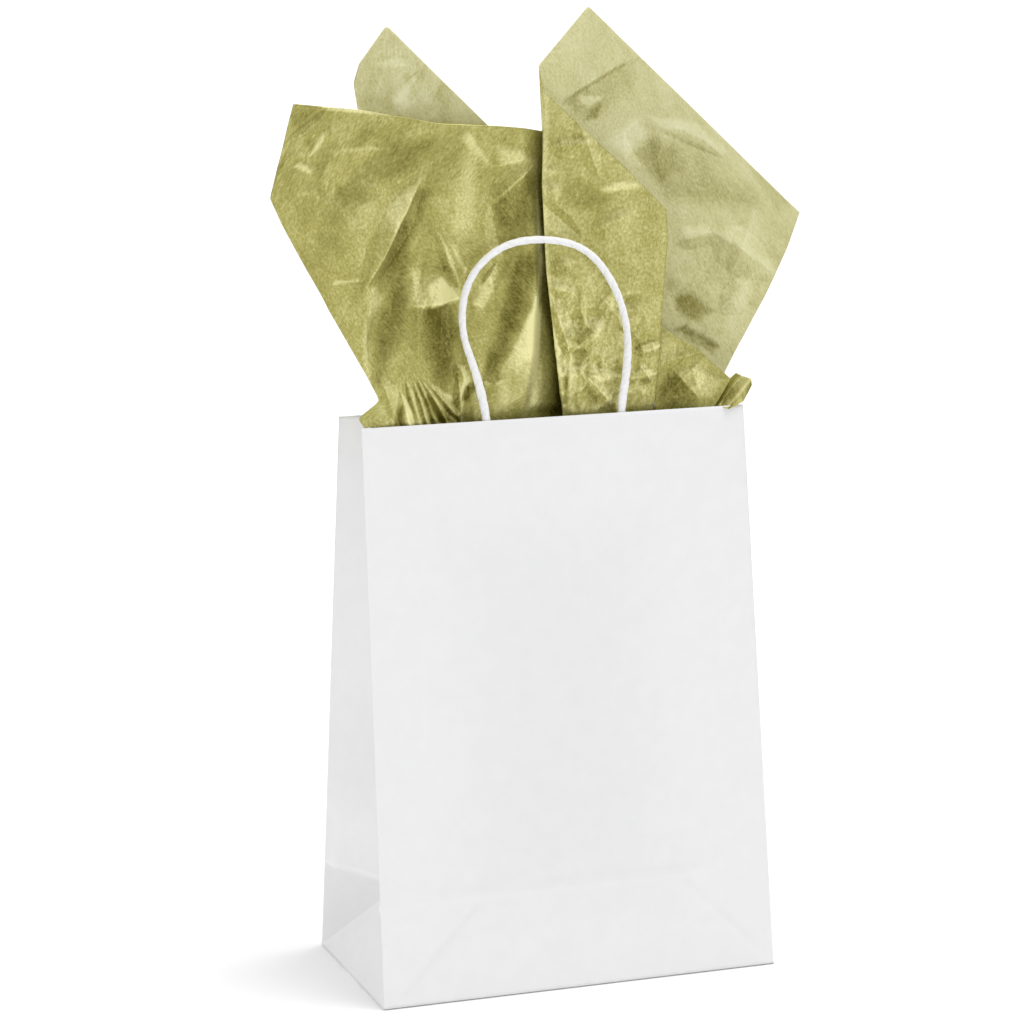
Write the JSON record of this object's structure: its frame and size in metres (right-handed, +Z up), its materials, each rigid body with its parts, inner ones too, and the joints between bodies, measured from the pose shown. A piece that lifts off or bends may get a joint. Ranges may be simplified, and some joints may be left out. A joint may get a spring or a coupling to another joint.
{
  "type": "gift bag",
  "caption": "Upright paper gift bag with folded-in side gussets, twisted-cord handles that fold outwards, and tissue sheets that pull up out of the mouth.",
  "frame": {"origin": "centre of the bag's underside, on the surface it stands on", "axes": "+Z up, -Y the front panel, X across the width"},
  "size_m": [0.276, 0.108, 0.4708],
  "materials": {
    "white_kraft_paper": "matte",
    "twisted_paper_cord": "matte",
    "gold_tissue": "satin"
  },
  "bodies": {
    "bag": {"front_panel": "white_kraft_paper", "back_panel": "white_kraft_paper", "left_gusset_base": "white_kraft_paper", "left_gusset_front_leaf": "white_kraft_paper", "left_gusset_back_leaf": "white_kraft_paper", "right_gusset_base": "white_kraft_paper", "right_gusset_front_leaf": "white_kraft_paper", "right_gusset_back_leaf": "white_kraft_paper", "bottom_outer_flap": "white_kraft_paper", "bottom_inner_flap": "white_kraft_paper", "bottom_left_tuck": "white_kraft_paper", "bottom_right_tuck": "white_kraft_paper", "side_seam_lap": "white_kraft_paper", "front_patch_outer_ply": "white_kraft_paper", "front_patch_inner_ply": "white_kraft_paper", "front_handle_ends": "twisted_paper_cord", "back_patch_outer_ply": "white_kraft_paper", "back_patch_inner_ply": "white_kraft_paper", "back_handle_ends": "twisted_paper_cord"},
    "front_handle": {"front_handle_loop": "twisted_paper_cord"},
    "back_handle": {"back_handle_loop": "twisted_paper_cord"},
    "left_front_sheet": {"tissue_left_front": "gold_tissue"},
    "left_back_sheet": {"tissue_left_back": "gold_tissue"},
    "right_sheet": {"tissue_right": "gold_tissue"},
    "corner_sheet": {"tissue_corner": "gold_tissue"}
  },
  "joints": [
    {"name": "front_handle_fold", "type": "hinge", "parent": "bag", "child": "front_handle", "pos_m": [0, -0.01654, 0.27873], "axis": [1, 0, 0], "range_deg": [-2.5, 90]},
    {"name": "back_handle_fold", "type": "hinge", "parent": "bag", "child": "back_handle", "pos_m": [0, 0.01654, 0.27873], "axis": [-1, 0, 0], "range_deg": [-2.5, 90]},
    {"name": "left_front_sheet_pull", "type": "slide", "parent": "bag", "child": "left_front_sheet", "axis": [0, 0, 1], "range_m": [0, 0.3]},
    {"name": "left_back_sheet_pull", "type": "slide", "parent": "bag", "child": "left_back_sheet", "axis": [0, 0, 1], "range_m": [0, 0.34]},
    {"name": "right_sheet_pull", "type": "slide", "parent": "bag", "child": "right_sheet", "axis": [0, 0, 1], "range_m": [0, 0.34]},
    {"name": "corner_sheet_pull", "type": "slide", "parent": "bag", "child": "corner_sheet", "axis": [0, 0, 1], "range_m": [0, 0.12]}
  ]
}
